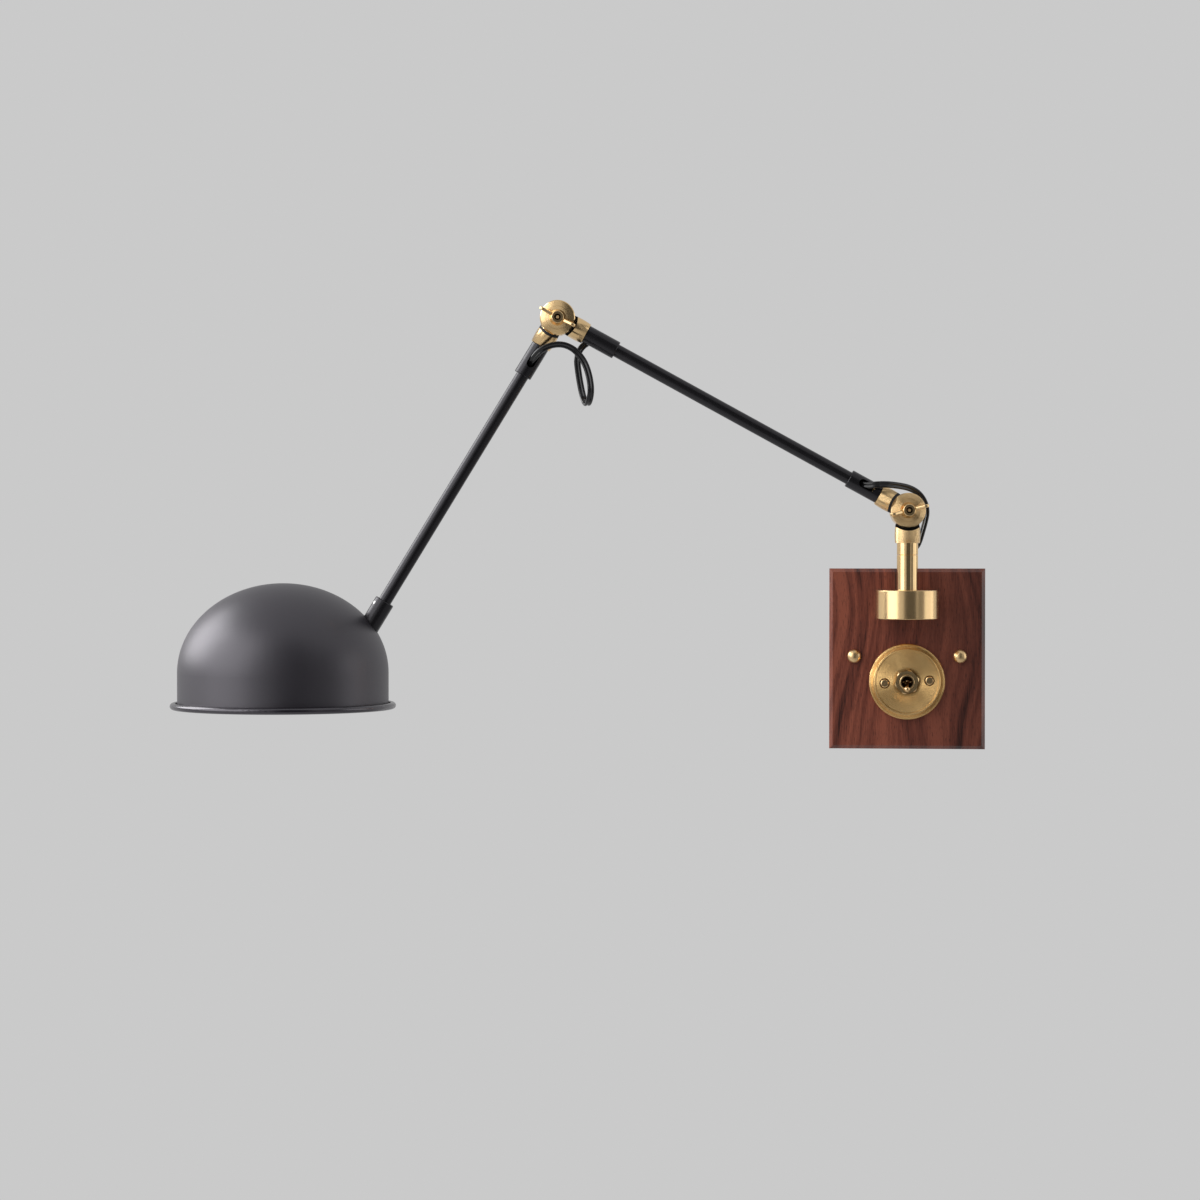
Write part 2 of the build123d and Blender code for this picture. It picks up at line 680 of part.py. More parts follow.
def stem_lead():
    """The flex inside the upper stem, bent out into the cord hole."""
    turn = math.radians(cord_hole_turn)
    outward = along * math.sin(turn) + back * math.cos(turn)
    corner = Vector(0, stem_y, seam_height + cord_hole_height)
    path = FilletPolyline(
        Vector(0, stem_y, seam_height + face_gap),
        corner,
        corner + outward * stem_lead_reach,
        radius=stem_lead_bend)
    return lead(path)


# ---------------------------------------------------------------- arms
def sleeve(frame, slot_turn):
    """A black sleeve that joins a pivot's barrel to the arm's tube, with a slot for the flex."""
    body = rod(sleeve_diameter, barrel_reach, sleeve_end)
    body = chamfer(body.edges().filter_by(GeomType.CIRCLE), sleeve_edge)
    body -= rod(tube_diameter + 2 * thread_gap, barrel_reach, sleeve_end)
    slot = Pos(slot_middle, 0, 0) * extrude(SlotOverall(slot_length, slot_width), sleeve_diameter)
    body -= Rot(slot_turn, 0, 0) * slot
    return place(frame, body)


def arm_tube(frame, start, end, groove=None):
    """An arm's tube; the second one has a groove for the shade's grub screw."""
    tube = rod(tube_diameter, start, end) - rod(tube_bore, start, end)
    if groove:
        ring = rod(2 * tube_diameter, groove - grub_diameter / 2 - face_gap,
                   groove + grub_diameter / 2 + face_gap)
        tube -= ring - rod(tube_diameter - 2 * collar_groove_depth, start, end)
    return place(frame, tube)


def inner_lead(frame, start, end):
    return place(frame, rod(cord_diameter, start, end))


# ---------------------------------------------------------------- free flex
def free_cord(name, pivot, route):
    """A free stretch of flex: straight runs joined by arcs as large as the runs allow."""
    points = [pivot + along * right + up * high + back * rear for right, high, rear in route]
    runs = [(points[i + 1] - points[i]).length for i in range(len(points) - 1)]
    radii = []
    for i in range(1, len(points) - 1):
        turn = (points[i] - points[i - 1]).get_angle(points[i + 1] - points[i])
        radii.append(0.45 * min(runs[i - 1], runs[i]) / math.tan(math.radians(turn / 2)))
    path = FilletPolyline(*points, radius=radii)
    cord = lead(path)
    expected = math.pi * cord_diameter ** 2 / 4 * path.length
    print(name, "length", round(path.length, 1), "radii", [round(radius, 1) for radius in radii],
          "runs", [round(run, 1) for run in runs],
          "volume over section times length", round(cord.volume / expected, 4))
    return cord


# ---------------------------------------------------------------- shade
def dome_volume(inset):
    """The space inside the dome and skirt, drawn in by an inset, closed and open-ended below."""
    radius = dome_diameter / 2 - inset
    height = dome_height - inset
    outline = Line((0, -2 * skirt_height), (radius, -2 * skirt_height))
    outline += Line((radius, -2 * skirt_height), (radius, 0))
    outline += quarter_ellipse(radius, height, 0)
    outline += Line((0, height), (0, -2 * skirt_height))
    return Rot(90, 0, 0) * revolve(make_face(outline), Axis.Y)


def shade():
    """A spun dome with a straight skirt and a rolled rim."""
    bead_ring = (rim_outer_diameter - rim_bead_diameter) / 2
    inner = dome_diameter - 2 * shade_wall
    shell = dome_volume(0) - dome_volume(shade_wall)
    shell -= post(rim_outer_diameter, -3 * skirt_height, -skirt_height)
    web = post(2 * bead_ring, -skirt_height - shade_wall, -skirt_height)
    web -= post(inner, -skirt_height - shade_wall, -skirt_height)
    shell += web + Pos(0, 0, -skirt_height) * Torus(bead_ring, rim_bead_diameter / 2)
    shell = place(shade_frame, shell)
    return shell - place(arm_2_frame, rod(shade_nipple_diameter + 2 * thread_gap,
                                          shade_collar_start, saddle_seat))


def shade_collar():
    """The socket on the shade that holds the arm's tube; its foot follows the dome."""
    collar = rod(shade_collar_diameter, shade_collar_start, saddle_seat)
    collar = chamfer(collar.edges().group_by(Axis.X)[0], shade_collar_edge)
    collar -= rod(tube_diameter + 2 * running_gap, shade_collar_start, arm_2_length + face_gap)
    collar -= rod(shade_nipple_diameter + 2 * thread_gap, shade_collar_start, saddle_seat)
    hole = Pos(shade_collar_start + collar_grub_distance, 0, 0) * post(
        grub_diameter + 2 * thread_gap, 0, shade_collar_diameter)
    collar -= Rot(60, 0, 0) * hole
    return place(arm_2_frame, collar) - place(shade_frame, dome_volume(-thread_gap))


def collar_grub():
    tip = tube_diameter / 2 - collar_groove_depth + 2 * face_gap
    screw = post(grub_diameter, tip, shade_collar_diameter / 2 - grub_sunk)
    screw = Rot(60, 0, 0) * Pos(shade_collar_start + collar_grub_distance, 0, 0) * screw
    return place(arm_2_frame, screw)


def shade_nipple():
    start = arm_2_length + 2 * face_gap
    end = saddle_seat + shade_nut_thickness + holder_floor
    tube = rod(shade_nipple_diameter, start, end) - rod(shade_nipple_bore, start, end)
    return place(arm_2_frame, tube)


def saddle_washer():
    """A washer shaped to the dome on one face and square to the nipple on the other."""
    ring = rod(saddle_diameter, shade_collar_start, saddle_seat)
    ring -= rod(shade_nipple_diameter + 2 * thread_gap, shade_collar_start, saddle_seat)
    return place(arm_2_frame, ring) & place(shade_frame, dome_volume(shade_wall + thread_gap))


def shade_nut():
    nut = Rot(0, 90, 0) * hexagon(shade_nut_across, saddle_seat, saddle_seat + shade_nut_thickness)
    nut -= rod(shade_nipple_diameter + 2 * thread_gap, saddle_seat, saddle_seat + shade_nut_thickness)
    return place(arm_2_frame, nut)


holder_start = saddle_seat + shade_nut_thickness
holder_joint = holder_start + holder_cap_height
holder_mouth = holder_joint + holder_shell_height
bulb_cap_start = holder_mouth - bulb_cap_length


def lampholder_cap():
    outline = [(holder_start, 0), (holder_start, holder_neck_diameter / 2),
               (holder_start + holder_floor, holder_neck_diameter / 2),
               (holder_joint - holder_cap_rim, holder_diameter / 2),
               (holder_joint, holder_diameter / 2), (holder_joint, 0)]
    cap = turned(outline, Axis.X)
    room = [(holder_start + holder_floor, 0),
            (holder_start + holder_floor, holder_neck_diameter / 2 - holder_shell_wall),
            (holder_joint - holder_cap_rim, holder_diameter / 2 - holder_shell_wall),
            (holder_joint, holder_diameter / 2 - holder_shell_wall), (holder_joint, 0)]
    cap -= turned(room, Axis.X)
    cap -= rod(shade_nipple_diameter + 2 * thread_gap, holder_start, holder_start + holder_floor)
    return place(arm_2_frame, cap)


def lampholder_shell():
    """The lower half of the lampholder, with the floor that carries the bulb's contact."""
    shell = rod(holder_diameter, holder_joint, holder_mouth)
    shell = fillet(shell.edges().group_by(Axis.X)[-1], 0.8)
    shell -= rod(bulb_cap_diameter + 2 * thread_gap, bulb_cap_start - bulb_contact_height,
                 holder_mouth)
    for ring in range(3):
        middle = holder_joint + holder_shell_height * (0.3 + 0.22 * ring)
        groove = rod(2 * holder_diameter, middle - 0.6, middle + 0.6)
        shell -= groove - rod(holder_diameter - 1.2, middle - 1, middle + 1)
    return place(arm_2_frame, shell)


def bulb_cap():
    cap = rod(bulb_cap_diameter, bulb_cap_start, holder_mouth)
    cap = chamfer(cap.edges().group_by(Axis.X)[0], 1.2)
    cap += rod(bulb_contact_diameter, bulb_cap_start - bulb_contact_height, bulb_cap_start)
    return place(arm_2_frame, cap)


def bulb_globe():
    middle = holder_mouth + bulb_neck_length + math.sqrt(
        (bulb_globe_diameter / 2) ** 2 - (bulb_neck_diameter / 2) ** 2)
    globe = Pos(middle, 0, 0) * Sphere(bulb_globe_diameter / 2)
    globe += rod(bulb_neck_diameter, holder_mouth, middle)
    return place(arm_2_frame, globe)


def head_lead():
    start = arm_2_length + face_gap
    return place(arm_2_frame, rod(cord_diameter, start, holder_joint))


# ---------------------------------------------------------------- the whole lamp
collar_groove = shade_collar_start + collar_grub_distance

pieces = {
    "backplate": backplate(),
    "wall_crossbar": wall_crossbar(),
    "crossbar_studs": crossbar_studs(),
    "cap_nuts": cap_nuts(),
    "terminal_block": terminal_block(),
    "canopy_cup": canopy_cup(),
    "base_cap": base_cap(),
    "cup_nipple": cup_nipple(),
    "nipple_nuts": nipple_nuts(),
    "lower_stem": lower_stem(),
    "stem_nut": stem_nut(),
    "swivel_grub_screw": swivel_grub(),
    "base_lead": base_lead(),
    "switch_base": switch_base(),
    "switch_cover": switch_cover(),
    "switch_body": switch_body(),
    "switch_bush": switch_bush(),
    "switch_nut": switch_nut(),
    "switch_screws": switch_screws(),
    "toggle_lever": toggle_lever(),
    "upper_stem": upper_stem(),
    "stem_lead": stem_lead(),
    "shoulder_rear_knuckle": shoulder_post(),
    "shoulder_washer": friction_washer(arm_1_frame),
    "shoulder_bolt": pivot_bolt(Plane(origin=shoulder, x_dir=along, z_dir=front)),
    "shoulder_wing_nut": wing_nut(shoulder, shoulder_wing_turn),
    "shoulder_cord": free_cord("shoulder_cord", shoulder, shoulder_route),
    "arm_1_lower_knuckle": place(arm_1_frame, arm_half(1)),
    "arm_1_lower_sleeve": sleeve(arm_1_frame, slot_turn_lower),
    "arm_1_tube": arm_tube(arm_1_frame, tube_start, arm_1_length - tube_start),
    "arm_1_lead": inner_lead(arm_1_frame, lead_start, arm_1_length - lead_start),
    "arm_1_upper_sleeve": sleeve(arm_1_far_frame, slot_turn_elbow),
    "arm_1_upper_knuckle": place(arm_1_far_frame, arm_half(-1)),
    "elbow_washer": friction_washer(arm_2_frame),
    "elbow_bolt": pivot_bolt(Plane(origin=elbow, x_dir=along, z_dir=front)),
    "elbow_wing_nut": wing_nut(elbow, elbow_wing_turn),
    "elbow_cord": free_cord("elbow_cord", elbow, elbow_route),
    "arm_2_knuckle": place(arm_2_frame, arm_half(1)),
    "arm_2_sleeve": sleeve(arm_2_frame, slot_turn_second),
    "arm_2_tube": arm_tube(arm_2_frame, tube_start, arm_2_length, collar_groove),
    "arm_2_lead": inner_lead(arm_2_frame, lead_start, arm_2_length),
    "shade": shade(),
    "shade_collar": shade_collar(),
    "collar_grub_screw": collar_grub(),
    "shade_nipple": shade_nipple(),
    "saddle_washer": saddle_washer(),
    "shade_nut": shade_nut(),
    "lampholder_cap": lampholder_cap(),
    "lampholder_shell": lampholder_shell(),
    "bulb_cap": bulb_cap(),
    "bulb_globe": bulb_globe(),
    "head_lead": head_lead(),
}

os.makedirs("parts", exist_ok=True)
for name, piece in pieces.items():
    solid = Compound(children=list(piece)) if isinstance(piece, list) else piece
    export_step(solid, os.path.join("parts", name + ".step"))

for name, point in (("shoulder", shoulder), ("elbow", elbow), ("shade_middle", shade_middle)):
    print(name, [round(value, 2) for value in point])
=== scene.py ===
"""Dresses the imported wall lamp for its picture: wood, brass, paint, flex, studio and camera."""

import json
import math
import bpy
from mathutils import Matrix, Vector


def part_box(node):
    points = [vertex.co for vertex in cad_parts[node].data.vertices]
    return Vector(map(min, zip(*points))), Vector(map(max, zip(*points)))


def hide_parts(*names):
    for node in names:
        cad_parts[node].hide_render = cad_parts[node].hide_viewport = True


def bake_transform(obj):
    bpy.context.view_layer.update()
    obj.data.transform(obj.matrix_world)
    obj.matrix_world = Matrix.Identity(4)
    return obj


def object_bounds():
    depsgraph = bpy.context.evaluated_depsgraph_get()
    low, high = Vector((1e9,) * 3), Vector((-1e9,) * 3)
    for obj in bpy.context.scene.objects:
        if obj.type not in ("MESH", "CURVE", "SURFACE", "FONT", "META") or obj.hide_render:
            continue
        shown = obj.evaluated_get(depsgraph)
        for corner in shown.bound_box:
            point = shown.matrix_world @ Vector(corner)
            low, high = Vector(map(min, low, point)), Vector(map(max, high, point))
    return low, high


bl_info = {
    "name": "Articulating Wall Lamp",
    "version": (1, 0, 0),
    "blender": (4, 5, 0),
    "location": "3D View > Sidebar > Wall Lamp",
    "description": "Dresses a jointed wall lamp in walnut, brass, black paint and glossy flex",
    "category": "Object",
}

import bmesh
import bpy
from bpy.props import FloatProperty, FloatVectorProperty, IntProperty, PointerProperty
from mathutils import Euler, Matrix, Vector

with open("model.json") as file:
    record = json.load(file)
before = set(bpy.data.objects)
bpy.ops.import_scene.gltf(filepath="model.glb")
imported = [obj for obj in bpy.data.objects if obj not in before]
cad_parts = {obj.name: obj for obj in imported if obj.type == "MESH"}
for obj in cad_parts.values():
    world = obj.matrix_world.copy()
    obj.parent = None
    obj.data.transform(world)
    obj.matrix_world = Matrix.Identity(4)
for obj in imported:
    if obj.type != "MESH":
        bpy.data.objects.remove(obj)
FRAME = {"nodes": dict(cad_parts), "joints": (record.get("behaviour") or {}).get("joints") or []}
CAD_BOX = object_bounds()

JOINTS = {joint["name"]: joint for joint in FRAME["joints"]}
SHOULDER = Vector(JOINTS["shoulder_tilt"]["pos_m"])
ELBOW = Vector(JOINTS["elbow_fold"]["pos_m"])
BACK = Vector(JOINTS["shoulder_tilt"]["axis"]).normalized()
UP = Vector((0, 0, 1))
ALONG = BACK.cross(UP).normalized()

# The routes of the two free lengths of flex, as offsets from a pivot in metres: to the right
# along the arms, up, and back towards the wall.
SHOULDER_ROUTE = [
    (0.0019, -0.0311, 0.0027),
    (0.0072, -0.0310, 0.0096),
    (0.0106, -0.0264, 0.0116),
    (0.0134, -0.0168, 0.0109),
    (0.0158, -0.0080, 0.0107),
    (0.0171, -0.0006, 0.0106),
    (0.0152, 0.0074, 0.0104),
    (0.0098, 0.0144, 0.0094),
    (0.0016, 0.0184, 0.0050),
    (-0.0080, 0.0199, -0.0016),
    (-0.0172, 0.0207, -0.0072),
    (-0.0268, 0.0204, -0.0104),
    (-0.0342, 0.0194, -0.0048),
    (-0.0406, 0.0222, -0.0002),
]
ELBOW_ROUTE = [
    (-0.0241, -0.0395, -0.0002),
    (-0.0204, -0.0342, -0.0046),
    (-0.0150, -0.0272, -0.0110),
    (-0.0068, -0.0226, -0.0114),
    (0.0032, -0.0212, -0.0108),
    (0.0118, -0.0244, -0.0102),
    (0.0178, -0.0302, -0.0100),
    (0.0224, -0.0376, -0.0110),
    (0.0254, -0.0472, -0.0120),
    (0.0268, -0.0574, -0.0120),
    (0.0258, -0.0650, -0.0086),
    (0.0240, -0.0694, -0.0014),
    (0.0222, -0.0674, 0.0058),
    (0.0202, -0.0612, 0.0108),
    (0.0182, -0.0514, 0.0126),
    (0.0166, -0.0412, 0.0122),
    (0.0156, -0.0320, 0.0112),
    (0.0176, -0.0242, 0.0108),
    (0.0246, -0.0180, 0.0114),
    (0.0342, -0.0185, 0.0048),
    (0.0406, -0.0222, 0.0002),
]


# ------------------------------------------------------------------------------------ settings
class FlexSettings(bpy.types.PropertyGroup):
    width: FloatProperty(name="Width", description="Width of the flat twin flex",
                         default=0.0054, unit="LENGTH")
    thickness: FloatProperty(name="Thickness", description="Thickness of one core of the flex",
                             default=0.00275, unit="LENGTH")
    groove: FloatProperty(name="Groove", description="Half the height left in the groove",
                          default=0.00085, unit="LENGTH")
    shoulder_length: FloatProperty(name="Shoulder length", description="Free flex at the shoulder",
                                   default=0.1172, unit="LENGTH")
    elbow_length: FloatProperty(name="Elbow length", description="Free flex at the elbow",
                                default=0.1824, unit="LENGTH")
    lobe_steps: IntProperty(name="Steps", description="Corners round each core", default=12)


class FinishSettings(bpy.types.PropertyGroup):
    brass: FloatVectorProperty(name="Brass", description="Polished brass", subtype="COLOR",
                               size=4, default=(0.88, 0.62, 0.32, 1))
    # This colour serves for the random tarnish and for the painted shade at the step in the pivot
    # discs' faces.
    brass_tarnish_and_shade: FloatVectorProperty(name="Brass tarnish", description="Tarnish on the brass",
                                      subtype="COLOR", size=4, default=(0.50, 0.31, 0.13, 1))
    groove_width: FloatProperty(name="Groove width",
                                description="Width of the lathe's fine grooves",
                                default=0.0002, unit="LENGTH")
    aged_brass: FloatVectorProperty(name="Aged brass", description="Brass of the switch plates",
                                    subtype="COLOR", size=4, default=(0.90, 0.58, 0.24, 1))
    aged_shadow: FloatVectorProperty(name="Aged brass shade",
                                     description="Dark clouds in aged brass", subtype="COLOR",
                                     size=4, default=(0.48, 0.28, 0.10, 1))
    wood_light: FloatVectorProperty(name="Wood, light", description="Light bands of the walnut",
                                    subtype="COLOR", size=4, default=(0.27, 0.074, 0.042, 1))
    wood_mid: FloatVectorProperty(name="Wood, middle", description="Body colour of the walnut",
                                  subtype="COLOR", size=4, default=(0.150, 0.037, 0.022, 1))
    wood_dark: FloatVectorProperty(name="Wood, dark", description="Dark streaks of the walnut",
                                   subtype="COLOR", size=4, default=(0.026, 0.007, 0.005, 1))
    black: FloatVectorProperty(name="Black paint", description="Lacquer of the arms",
                               subtype="COLOR", size=4, default=(0.006, 0.0055, 0.0065, 1))
    anthracite: FloatVectorProperty(name="Shade outside", description="Enamel outside the shade",
                                    subtype="COLOR", size=4, default=(0.0035, 0.0028, 0.0065, 1))
    off_white: FloatVectorProperty(name="Shade inside", description="Enamel inside the shade",
                                   subtype="COLOR", size=4, default=(0.78, 0.76, 0.70, 1))
    flex: FloatVectorProperty(name="Flex", description="Sheath of the flex",
                              subtype="COLOR", size=4, default=(0.004, 0.004, 0.0045, 1))


class StudioSettings(bpy.types.PropertyGroup):
    background: FloatProperty(name="Background", description="Grey of the background, linear",
                              default=0.591, min=0, max=1)
    world_level: FloatProperty(name="World light",
                               description="Strength of the light from all round",
                               default=0.50, min=0)
    floor_depth: FloatProperty(name="Floor depth", description="Depth of the floor below the lamp",
                               default=1.25, unit="LENGTH")
    focal_length: FloatProperty(name="Focal length", description="Camera lens in millimetres",
                                default=90)
    pitch: FloatProperty(name="Pitch", description="How far the camera looks down",
                         default=math.radians(1), unit="ROTATION")
    heading: FloatProperty(name="Heading", description="How far the camera is turned to the left",
                           default=math.radians(5.37), unit="ROTATION")
    distance: FloatProperty(name="Distance", description="From the camera to the shoulder pivot, "
                            "measured along the view", default=2.4, unit="LENGTH")
    image_size: IntProperty(name="Image size", description="Side of the picture in pixels",
                            default=1200)
    shoulder_column: FloatProperty(name="Shoulder column", description="Pixel column of the pivot",
                                   default=907.5)
    shoulder_row: FloatProperty(name="Shoulder row", description="Pixel row of the pivot",
                                default=510.4)


# ------------------------------------------------------------------------------- shader helpers
class Reading:
    """A number or colour in a shader; arithmetic on it adds Math nodes."""

    def __init__(self, tree, socket):
        self.tree = tree
        self.socket = socket

    def feed(self, target):
        self.tree.links.new(self.socket, target)

    def math(self, operation, *values):
        node = self.tree.nodes.new("ShaderNodeMath")
        node.operation = operation
        for target, value in zip(node.inputs, values):
            connect(target, value)
        return Reading(self.tree, node.outputs[0])

    def __add__(self, other):
        return self.math("ADD", self, other)

    def __radd__(self, other):
        return self.math("ADD", other, self)

    def __sub__(self, other):
        return self.math("SUBTRACT", self, other)

    def __rsub__(self, other):
        return self.math("SUBTRACT", other, self)

    def __mul__(self, other):
        return self.math("MULTIPLY", self, other)

    def __rmul__(self, other):
        return self.math("MULTIPLY", other, self)

    def __truediv__(self, other):
        return self.math("DIVIDE", self, other)

    def __rtruediv__(self, other):
        return self.math("DIVIDE", other, self)

    def __pow__(self, other):
        return self.math("POWER", self, other)

    def __gt__(self, other):
        return self.math("GREATER_THAN", self, other)

    def __lt__(self, other):
        return self.math("LESS_THAN", self, other)


def connect(target, value):
    """Puts a number, colour or reading into a socket."""
    if isinstance(value, Reading):
        value.feed(target)
    else:
        target.default_value = value


class Finish:
    """A node material: its constants stand on the shader, and what varies is linked to it."""

    COLOUR_A, COLOUR_B, COLOUR_OUT = 6, 7, 2      # sockets of a Mix node that is set to colours

    def __init__(self, name, constants):
        self.material = bpy.data.materials.new(name)
        self.material.use_nodes = True
        self.tree = self.material.node_tree
        self.shader = self.tree.nodes["Principled BSDF"]
        for socket, value in constants.items():
            self.shader.inputs[socket].default_value = value

    def node(self, kind, settings, sockets, output=0):
        """A node of any other type: its settings first, then the values or links of its sockets."""
        node = self.tree.nodes.new(kind)
        for name, value in settings.items():
            if name == "stops":
                ramp = node.color_ramp
                while len(ramp.elements) < len(value):
                    ramp.elements.new(0.5)
                for element, (position, colour) in zip(ramp.elements, value):
                    element.position = position
                    element.color = colour
            else:
                setattr(node, name, value)
        for name, value in sockets.items():
            connect(node.inputs[name], value)
        return Reading(self.tree, node.outputs[output])

    def place(self, stretch):
        """The point on the lamp at rest, in metres times stretch."""
        point = self.node("ShaderNodeTexCoord", {}, {}, "Object")
        return self.node("ShaderNodeMapping", {}, {"Vector": point, "Scale": stretch})

    def clouds(self, point, scale, detail, roughness):
        """Clouds at a given point, finer as scale grows."""
        return self.node("ShaderNodeTexNoise", {"noise_dimensions": "3D"},
                         {"Vector": point, "Scale": scale, "Detail": detail,
                          "Roughness": roughness}, "Fac")

    def noise(self, stretch, detail=3.0, roughness=0.5):
        """Clouds whose size along each axis is one over stretch, in metres."""
        return self.clouds(self.place(stretch), 1.0, detail, roughness)

    def reach(self, pivot, axis):
        """How far a point on the lamp at rest is from an axis through a pivot, in metres."""
        point = self.node("ShaderNodeTexCoord", {}, {}, "Object")
        offset = self.node("ShaderNodeVectorMath", {"operation": "SUBTRACT"},
                           {0: point, 1: pivot}, "Vector")
        across = self.node("ShaderNodeVectorMath", {"operation": "CROSS_PRODUCT"},
                           {0: offset, 1: axis}, "Vector")
        return self.node("ShaderNodeVectorMath", {"operation": "LENGTH"}, {0: across}, "Value")

    @staticmethod
    def ring(reach, inner, outer):
        """1 between two distances from an axis, 0 elsewhere."""
        return (reach > inner) * (reach < outer)

    def grooves(self, reach, settings, slope):
        """Heights in metres of the fine turned grooves round an axis."""
        return reach.math("PINGPONG", reach, settings.groove_width) * slope

    def spread(self, value, low, high, start=0.0, end=1.0):
        """Maps value from low..high to start..end and stops there."""
        sockets = {"Value": value, "From Min": low, "From Max": high, "To Min": start,
                   "To Max": end}
        return self.node("ShaderNodeMapRange", {}, sockets)

    def blend(self, share, first, second):
        """Two colours mixed by a share."""
        return self.node("ShaderNodeMix", {"data_type": "RGBA"},
                         {0: share, self.COLOUR_A: first, self.COLOUR_B: second}, self.COLOUR_OUT)

    def link(self, **readings):
        """Feeds what varies over the surface into the shader."""
        names = {"colour": "Base Color", "roughness": "Roughness", "metallic": "Metallic"}
        for name, value in readings.items():
            connect(self.shader.inputs[names[name]], value)

    def bump(self, height, strength, distance):
        """Raises the surface by height times distance, in metres."""
        normal = self.node("ShaderNodeBump", {}, {"Height": height, "Strength": strength,
                                                  "Distance": distance})
        connect(self.shader.inputs["Normal"], normal)


# ----------------------------------------------------------------------------------- finishes
def walnut(settings):
    """Oiled walnut whose grain runs up the plate, leaning a little, with dark streaks and pores,
    and painted shade towards its right side.
    """
    finish = Finish("walnut", {"Specular IOR Level": 0.12, "Coat Weight": 0.9,
                               "Coat Roughness": 0.24})
    lean = finish.noise((7, 7, 5), detail=1.0)
    point = finish.node("ShaderNodeTexCoord", {}, {}, "Object")
    across = finish.node("ShaderNodeSeparateXYZ", {}, {"Vector": point}, "X")
    height = finish.node("ShaderNodeSeparateXYZ", {}, {"Vector": point}, "Z")
    bent = across + (lean - 0.5) * 0.085 + height * height * 1.1
    rings_at = finish.node("ShaderNodeCombineXYZ", {}, {"X": bent, "Y": 0.0, "Z": height * 0.05})
    rings = finish.clouds(rings_at, 165.0, 4.0, 0.6)
    bands = finish.clouds(rings_at, 42.0, 2.0, 0.5)
    fibre = finish.noise((1500, 1500, 42), detail=3.0, roughness=0.65)
    pores = finish.noise((2600, 2600, 190), detail=1.0)
    tone = rings * 0.46 + bands * 0.54 + (fibre - 0.5) * 0.34
    colour = finish.node("ShaderNodeValToRGB", {"stops": [
        (0.36, settings.wood_dark), (0.46, settings.wood_mid), (0.60, settings.wood_light)]},
        {"Fac": tone}, "Color")
    # Painted shade: the plate is darkened towards its right side, away from the light on the left.
    right = finish.spread(across, -0.02, 0.055, 0.0, 0.42)
    colour = finish.blend(right, colour, settings.wood_dark)
    pore = finish.spread(pores, 0.60, 0.70, 0.0, 0.65)
    colour = finish.blend(pore, colour, settings.wood_dark)
    finish.link(colour=colour, roughness=0.36 + fibre * 0.16 + pore * 0.2)
    finish.bump(fibre * 0.5 + rings * 0.3 - pore, 0.35, 0.00012)
    return finish.material


def brass(name, settings, roughness, stain=0.26):
    """Polished brass with a faint tarnish."""
    finish = Finish(name, {"Metallic": 1.0})
    clouds = finish.noise((55, 55, 55), detail=5.0, roughness=0.6)
    wipe = finish.noise((420, 420, 420), detail=4.0, roughness=0.65)
    tarnish = finish.spread(clouds, 0.45, 0.75, 0.0, stain)
    finish.link(colour=finish.blend(tarnish, settings.brass, settings.brass_tarnish_and_shade),
                roughness=roughness + tarnish * 0.22 + (wipe - 0.5) * 0.06)
    finish.bump(wipe, 0.12, 0.00004)
    return finish.material


# Distances from a pivot's axis, in metres.
DISC_GAP_SHADE = (0.01405, 0.0163)          # painted shade, near black, in the gap between the discs and the necks
DISC_STEP_SHADE = (0.0090, 0.0094)          # painted shade in a thin ring at the fine step in the disc's face
DISC_WIDTH = 0.028


def pivot_brass(name, settings, pivot, slope, dome_slope, top):
    """Polished brass whose discs round a pivot are faced with fine grooves and domed, the dome's
    top at an offset from the pivot, with painted shade in the gap round them and at a fine step in
    their faces."""
    finish = Finish(name, {})
    reach = finish.reach(pivot, BACK)
    # The gap round the discs is painted near black and non-metallic, as shade.
    gap_shade = finish.ring(reach, *DISC_GAP_SHADE)
    # The fine step in the face is painted darker, in the tarnish colour, as shade.
    step = finish.ring(reach, *DISC_STEP_SHADE)
    clouds = finish.noise((90, 90, 90), detail=4.0)
    colour = finish.blend(finish.spread(clouds, 0.45, 0.75, 0.0, 0.25), settings.brass,
                          settings.brass_tarnish_and_shade)
    colour = finish.blend(step * 0.6, colour, settings.brass_tarnish_and_shade)
    finish.link(colour=finish.blend(gap_shade, colour, (0.010, 0.009, 0.009, 1)),
                roughness=0.17 + clouds * 0.05 + gap_shade * 0.5, metallic=1.0 - gap_shade)
    beside = finish.reach(pivot + top, BACK)
    dome = beside * beside * (-dome_slope / DISC_WIDTH)
    finish.bump(dome + finish.grooves(reach, settings, slope), 1.0, 1.0)
    return finish.material


def recessed_brass(name, settings, pivot, axis, inner, outer):
    """Polished brass with painted shade between two distances from an axis, in the mouth of a hole.
    """
    finish = Finish(name, {"Metallic": 1.0})
    reach = finish.reach(pivot, axis)
    # The mouth of the hole is painted dark brown, as shade.
    mouth_shade = finish.ring(reach, inner, outer)
    scuff = finish.noise((300, 300, 300), detail=3.0)
    finish.link(colour=finish.blend(mouth_shade, settings.brass, (0.08, 0.045, 0.020, 1)),
                roughness=0.16 + scuff * 0.08 + (reach < inner) * 0.35)
    finish.bump(scuff, 0.1, 0.00005)
    return finish.material


# Distances from the switch's axis or a screw's axis, in metres.
NUT_SHADE = (0.0092, 0.0125)          # painted shade round the nut, fading outwards
SCREW_LINE_SHADE = (-0.0002, 0.0008)        # painted shade line, from a screw head's edge
COVER_GROOVE_SLOPE = 0.34


